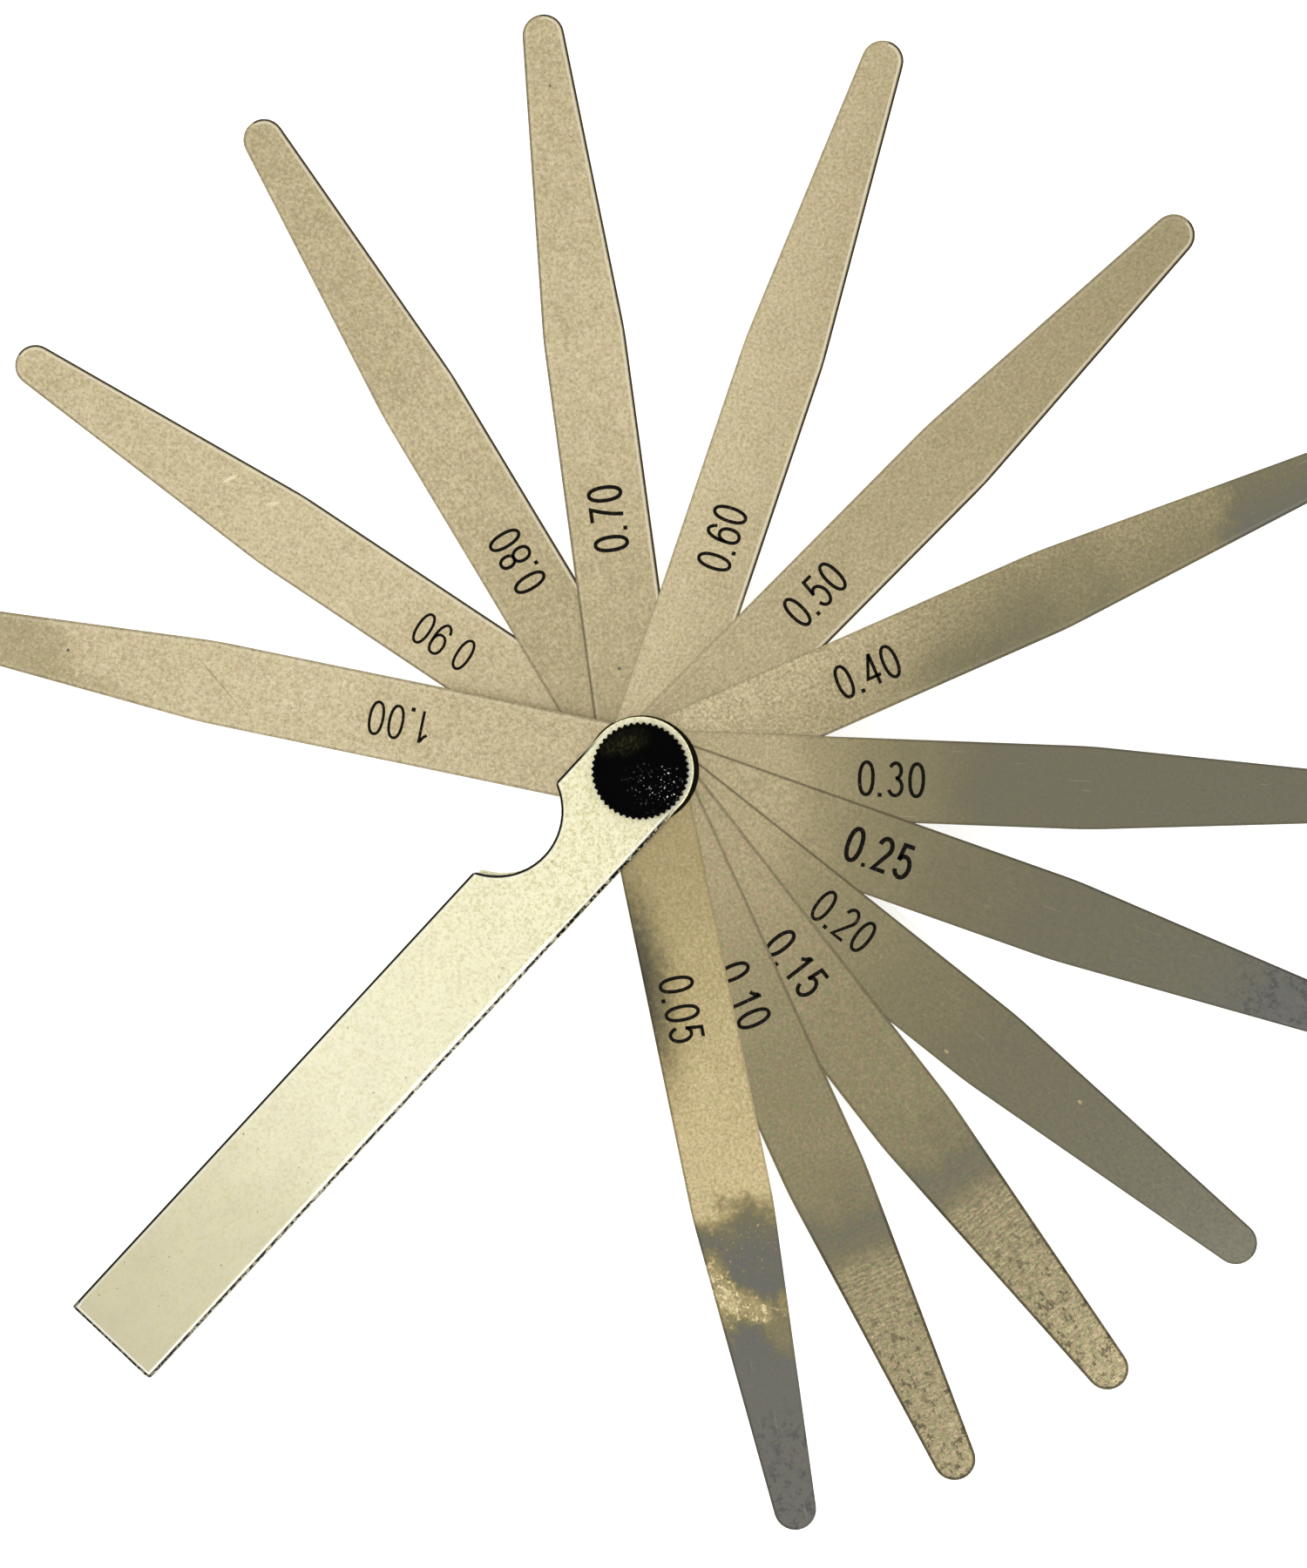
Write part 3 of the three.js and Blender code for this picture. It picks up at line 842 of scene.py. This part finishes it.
SAME_PLACE = 0.001 * MM  # corners closer than this are one corner
FLAT_TURN = math.radians(0.5)  # faces that turn less than this are one face
EDGE_TURN = math.radians(60)  # faces that turn more than this meet in an edge


def finish_mesh(mesh, name, material, smooth=True):
    bmesh.ops.recalc_face_normals(mesh, faces=mesh.faces)
    data = bpy.data.meshes.new(name)
    mesh.to_mesh(data)
    mesh.free()
    data.materials.append(material)
    for polygon in data.polygons:
        polygon.use_smooth = smooth
    piece = bpy.data.objects.new(name, data)
    bpy.context.scene.collection.objects.link(piece)
    return piece


def shade_evenly(piece):
    shade = piece.modifiers.new("shade", "WEIGHTED_NORMAL")
    shade.keep_sharp = True


def soften(node, width, material):
    """Rounds a metal piece's edges, width mm wide, as tumbling leaves them, and gives it its finish."""
    piece = frame["nodes"][node]
    weld = piece.modifiers.new("weld", "WELD")
    weld.merge_threshold = SAME_PLACE
    flat = piece.modifiers.new("flat", "DECIMATE")
    flat.decimate_type = "DISSOLVE"
    flat.angle_limit = FLAT_TURN
    edge = piece.modifiers.new("edge", "BEVEL")
    edge.width = width * MM
    edge.segments = 2
    edge.limit_method = "ANGLE"
    edge.angle_limit = EDGE_TURN
    edge.use_clamp_overlap = False
    edge.harden_normals = False
    shade_evenly(piece)
    piece.data.materials.clear()
    piece.data.materials.append(material)
    for polygon in piece.data.polygons:
        polygon.use_smooth = True


def add_case(material):
    """The CAD's case with softly rounded edges, widened and moved to match the photo."""
    mesh = bmesh.new()
    mesh.from_mesh(frame["nodes"]["case"].data)
    bmesh.ops.remove_doubles(mesh, verts=mesh.verts, dist=SAME_PLACE)
    bmesh.ops.dissolve_limit(mesh, angle_limit=FLAT_TURN, verts=mesh.verts, edges=mesh.edges)

    def at_spine_start(vert):
        return abs(vert.co.x - SPINE_START * MM) < 0.3 * MM and vert.co.y > SPINE_INSIDE * MM

    edges = []
    for edge in mesh.edges:
        turned = len(edge.link_faces) == 2 and edge.calc_face_angle() > EDGE_TURN
        if turned and not any(at_spine_start(vert) for vert in edge.verts):
            edges.append(edge)
    rounding = {"offset": CASE_ROUNDING * MM, "offset_type": "OFFSET", "segments": 3, "profile": 0.5}
    bmesh.ops.bevel(mesh, geom=edges, affect="EDGES", clamp_overlap=False, **rounding)
    for vert in mesh.verts:
        vert.co.y = vert.co.y * CASE_SPREAD - CASE_SHIFT * MM
        vert.co.x *= CASE_SPREAD if vert.co.x < 0 else 1.0
    case = finish_mesh(mesh, "folded_case", material)
    shade_evenly(case)
    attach(case, "case")
    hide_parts("case")


# ---------------------------------------------------------------- the knob

# All in mm.
KNOB_TEETH = 47
KNOB_TIP_RADIUS = 5.95
KNOB_ROOT_RADIUS = 5.62
KNOB_CHAMFER = 0.45
KNOB_DOME = 0.55
KNOB_RECESS_RADIUS = 4.25
KNOB_CLEARANCE = 0.03  # over the spring washer and the screw's head
POCKET_ACROSS_FLATS = 5.56
COLUMNS_PER_TOOTH = 8
KNOB_COLUMNS = KNOB_TEETH * COLUMNS_PER_TOOTH
FACE_RADIUS = KNOB_ROOT_RADIUS - 0.1
FACE_RINGS = 58
GRAINS_PER_MM = 4.6
GRAIN_HEIGHT = 0.045
GRAIN_ROOM = 0.05  # how far the smooth dome stays under the knob's top, to leave room for the grains
FINE_GRAIN = 2.3  # how many times finer the fine grains are
FINE_GRAIN_HEIGHT = 0.02
GRAIN_SLICE = 3.1  # where the noise is cut, which sets the pattern


def column_angle(column):
    return 2 * math.pi * column / KNOB_COLUMNS


def knob_tooth(column, inset):
    """The knob's radius at a column, cut off inset mm inside the teeth's crests."""
    phase = (column % COLUMNS_PER_TOOTH) / COLUMNS_PER_TOOTH
    ridge = 1 - abs(2 * phase - 1)
    crest = ridge * ridge * (3 - 2 * ridge) * 0.5 + ridge * 0.5
    radius = KNOB_ROOT_RADIUS + (KNOB_TIP_RADIUS - KNOB_ROOT_RADIUS) * crest
    return min(radius, KNOB_TIP_RADIUS - inset)


def knob_pocket(column, growth):
    """The radius of the hexagonal pocket at a column, growth mm outside its flats."""
    turned = (column_angle(column) + math.pi / 6) % (math.pi / 3) - math.pi / 6
    return POCKET_ACROSS_FLATS / 2 / math.cos(turned) + growth


def face_height(x, y, radius, rim, top):
    """The height of the knob's domed, grained face, in mm."""
    share = radius / FACE_RADIUS
    place = Vector((x * GRAINS_PER_MM, y * GRAINS_PER_MM, GRAIN_SLICE))
    grain = GRAIN_HEIGHT * noise.noise(place) + FINE_GRAIN_HEIGHT * noise.noise(place * FINE_GRAIN)
    return rim + (top - rim - GRAIN_ROOM) * (1 - share * share) + grain


def add_knob(material):
    """A moulded knob with a grained domed face and a hollow back that hides the washers."""
    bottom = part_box("knob")[0].z / MM
    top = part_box("knob")[1].z / MM
    rim = top - KNOB_DOME
    recess_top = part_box("spring_washer")[1].z / MM + KNOB_CLEARANCE
    pocket_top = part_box("clamp_screw")[1].z / MM + KNOB_CLEARANCE
    mesh = bmesh.new()
    pocket_middle = mesh.verts.new((0, 0, pocket_top * MM))
    rings = []

    def ring(radius_of, height_of):
        verts = []
        for column in range(KNOB_COLUMNS):
            radius = radius_of(column)
            x = radius * math.cos(column_angle(column))
            y = radius * math.sin(column_angle(column))
            verts.append(mesh.verts.new((x * MM, y * MM, height_of(x, y, radius) * MM)))
        rings.append(verts)

    pocket = [(-0.1, pocket_top), (0.0, pocket_top - 0.05), (0.0, recess_top + 0.05), (0.05, recess_top)]
    recess = [(-0.05, recess_top), (0.0, recess_top - 0.05), (0.0, bottom + 0.1), (0.1, bottom)]
    side = [
        (KNOB_CHAMFER, bottom),
        (KNOB_CHAMFER * 0.5, bottom + KNOB_CHAMFER * 0.4),
        (0.03, bottom + KNOB_CHAMFER),
        (0.0, bottom + KNOB_CHAMFER + 0.1),
        (0.0, rim - KNOB_CHAMFER - 0.1),
        (0.04, rim - KNOB_CHAMFER),
        (0.2, rim - KNOB_CHAMFER * 0.45),
        (0.38, rim - 0.1),
        (KNOB_CHAMFER + 0.02, rim - 0.02),
    ]
    for growth, height in pocket:
        ring(lambda column: knob_pocket(column, growth), lambda x, y, radius: height)
    for growth, height in recess:
        ring(lambda column: KNOB_RECESS_RADIUS + growth, lambda x, y, radius: height)
    for inset, height in side:
        ring(lambda column: knob_tooth(column, inset), lambda x, y, radius: height)
    for i in range(FACE_RINGS):
        face_radius = FACE_RADIUS * (1 - i / FACE_RINGS)
        ring(lambda column: face_radius, lambda x, y, radius: face_height(x, y, radius, rim, top))
    face_middle = mesh.verts.new((0, 0, face_height(0, 0, 0, rim, top) * MM))

    neighbours = [(i, (i + 1) % KNOB_COLUMNS) for i in range(KNOB_COLUMNS)]
    for inner, outer in zip(rings, rings[1:]):
        for i, j in neighbours:
            mesh.faces.new((inner[i], inner[j], outer[j], outer[i]))
    for verts, middle in ((rings[0], pocket_middle), (rings[-1], face_middle)):
        for i, j in neighbours:
            mesh.faces.new((verts[i], verts[j], middle))
    knob = finish_mesh(mesh, "knurled_knob", material)
    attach(knob, "knob")
    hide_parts("knob")


# ---------------------------------------------------------------- the numbers on the blades

# All in mm.
DIGIT_WIDTH = 1.63  # between the middles of the strokes
DIGIT_HEIGHT = 3.98
DIGIT_GAP = 0.48
DOT_SIZE = 0.5
GAP_BEFORE_DOT = 0.42
GAP_AFTER_DOT = 0.6
INK_HEIGHT = 0.008
INK_DEPTH = 0.002  # how far the strokes reach into the blade
NUMBER_CENTRE = 30.4  # from the pivot

SHARPEST_MITRE = 0.6  # keeps the corners of the strokes short

# How each number was printed: its shift outwards, its shift to the left, and the width of its strokes.
PRINTS = {
    "1_00": (-0.1, 0.2, 0.36),
    "0_90": (-0.6, 0.4, 0.36),
    "0_80": (0.1, 0.0, 0.42),
    "0_70": (1.2, 0.1, 0.48),
    "0_60": (0.0, -0.1, 0.43),
    "0_50": (0.0, 0.25, 0.43),
    "0_40": (-0.2, 0.0, 0.42),
    "0_30": (0.2, 0.15, 0.45),
    "0_25": (0.4, 0.2, 0.56),
    "0_20": (0.4, 0.95, 0.42),
    "0_15": (-0.2, 0.4, 0.48),
    "0_10": (-0.2, -0.05, 0.46),
    "0_05": (-0.8, -1.2, 0.44),
}
DOTS_WORN_OFF = ("0_90",)


def bow(centre, radii, start, end, steps=20):
    """Points on an elliptical arc, in a cell one digit wide and one digit high."""
    angles = [math.radians(start + (end - start) * i / steps) for i in range(steps + 1)]
    return [(centre[0] + radii[0] * math.cos(a), centre[1] + radii[1] * math.sin(a)) for a in angles]


def ring_of(centre, radii, roundness=0.9):
    """A closed oval, with straighter sides the smaller its roundness."""
    points = []
    for x, y in bow((0, 0), (1, 1), 0, 360, 36):
        flat_x = math.copysign(abs(x) ** roundness, x)
        flat_y = math.copysign(abs(y) ** roundness, y)
        points.append((centre[0] + radii[0] * flat_x, centre[1] + radii[1] * flat_y))
    return points


# The pen strokes of each digit.
SIX = [bow((0.53, 0.5), (0.53, 0.5), 32, 180) + [(0.0, 0.32)], ring_of((0.5, 0.315), (0.5, 0.315))]
DIGITS = {
    "0": [ring_of((0.5, 0.5), (0.5, 0.5))],
    "1": [[(0.68, 0.0), (0.68, 1.0)], [(0.16, 0.72), (0.42, 0.81), (0.6, 0.95)]],
    "2": [bow((0.5, 0.73), (0.47, 0.27), 170, -28) + [(0.04, 0.0), (1.0, 0.0)]],
    "3": [bow((0.47, 0.765), (0.42, 0.235), 155, -90), bow((0.48, 0.268), (0.5, 0.268), 88, -160)],
    "4": [[(0.76, 0.0), (0.76, 1.0)], [(0.74, 0.98), (0.02, 0.27), (1.08, 0.27)]],
    "5": [[(0.94, 1.0), (0.2, 1.0), (0.08, 0.5)], bow((0.48, 0.33), (0.52, 0.33), 145, -160)],
    "6": SIX,
    "7": [[(0.0, 1.0), (1.0, 1.0), (0.72, 0.66), (0.52, 0.34), (0.42, 0.0)]],
    "8": [ring_of((0.5, 0.77), (0.42, 0.23)), ring_of((0.5, 0.27), (0.5, 0.27))],
    "9": [[(1 - x, 1 - y) for x, y in stroke] for stroke in SIX],
}


def ribbon(mesh, points, half, bottom, top, place):
    """One pen stroke: a flat bar of even width along the points. place puts a flat point on the blade."""
    closed = math.dist(points[0], points[-1]) < 1e-6
    if closed:
        points = points[:-1]
    count = len(points)
    sections = []
    for i, here in enumerate(points):
        before = points[(i - 1) % count] if closed or i > 0 else None
        after = points[(i + 1) % count] if closed or i < count - 1 else None
        steps = []
        for start, end in ((before, here), (here, after)):
            if start is not None and end is not None:
                steps.append((Vector(end) - Vector(start)).normalized())
        heading = sum(steps, Vector((0, 0))).normalized()
        side = Vector((-heading.y, heading.x))
        across = half / max(SHARPEST_MITRE, side.dot(Vector((-steps[0].y, steps[0].x))))
        section = []
        for sign, height in ((1, bottom), (-1, bottom), (-1, top), (1, top)):
            flat = Vector(here) + side * across * sign
            section.append(mesh.verts.new(place(flat.x, flat.y, height)))
        sections.append(section)
    pairs = list(zip(sections, sections[1:]))
    if closed:
        pairs.append((sections[-1], sections[0]))
    for first, second in pairs:
        for i in range(4):
            j = (i + 1) % 4
            mesh.faces.new((first[i], first[j], second[j], second[i]))
    if not closed:
        mesh.faces.new(reversed(sections[0]))
        mesh.faces.new(sections[-1])


def number_strokes(text, stroke):
    """The strokes of a number in mm, as (points, half width) pairs, and how long the number is.

    A space in the text is a dot that has worn off.
    """
    bars = []
    pen = 0.0
    for character in text:
        if character in ". ":
            pen += GAP_BEFORE_DOT - DIGIT_GAP
            middle = pen + DOT_SIZE / 2
            if character == ".":
                bars.append(([(middle, -stroke / 2), (middle, DOT_SIZE - stroke / 2)], DOT_SIZE / 2))
            pen += DOT_SIZE + GAP_AFTER_DOT
        else:
            for points in DIGITS[character]:
                placed = [(pen + stroke / 2 + x * DIGIT_WIDTH, y * DIGIT_HEIGHT) for x, y in points]
                bars.append((placed, stroke / 2))
            pen += DIGIT_WIDTH + stroke + DIGIT_GAP
    return bars, pen - DIGIT_GAP


def add_number(name, opening, top, ink):
    """A blade's thickness in thin raised strokes of ink, which reads outwards from the pivot."""
    outwards, leftwards, stroke = PRINTS[name]
    bars, length = number_strokes(name.replace("_", " " if name in DOTS_WORN_OFF else "."), stroke)

    def place(x, y, height):
        along = NUMBER_CENTRE + outwards + x - length / 2
        across = leftwards + y - DIGIT_HEIGHT / 2
        return (
            (along * math.cos(opening) + across * math.sin(opening)) * MM,
            (across * math.cos(opening) - along * math.sin(opening)) * MM,
            height,
        )

    mesh = bmesh.new()
    for points, half in bars:
        ribbon(mesh, points, half, top - INK_DEPTH * MM, top + INK_HEIGHT * MM, place)
    number = finish_mesh(mesh, "number_" + name, ink, smooth=False)
    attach(number, "blade_" + name)


# ---------------------------------------------------------------- building it all

BLADE_EDGE = 0.1  # the most that a blade's edges are rounded, in mm
BLADE_EDGE_SHARE = 0.3  # and the most as a share of its thickness
HARDWARE_EDGE = 0.06


def add_blade(joint, ink):
    """Gives a blade its own steel and its number."""
    node = joint["child"]
    name = node.removeprefix("blade_")
    opening = math.radians(-joint["range_deg"][0])
    thickness = float(name.replace("_", "."))
    steel = blade_steel(name, opening, **BLADE_LOOKS[name])
    soften(node, min(BLADE_EDGE, thickness * BLADE_EDGE_SHARE), steel)
    add_number(name, opening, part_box(node)[1].z, ink)


add_camera()
add_world()
add_table()
add_lamp()

add_case(case_nickel())
ink = ink_look()
for joint in frame["joints"]:
    if joint["child"].startswith("blade_"):
        add_blade(joint, ink)
zinc = zinc_steel()
for node in ("pivot_post", "flat_washer", "spring_washer", "clamp_screw"):
    soften(node, HARDWARE_EDGE, zinc)
add_knob(knob_plastic())

bpy.context.scene.view_settings.view_transform = "Standard"
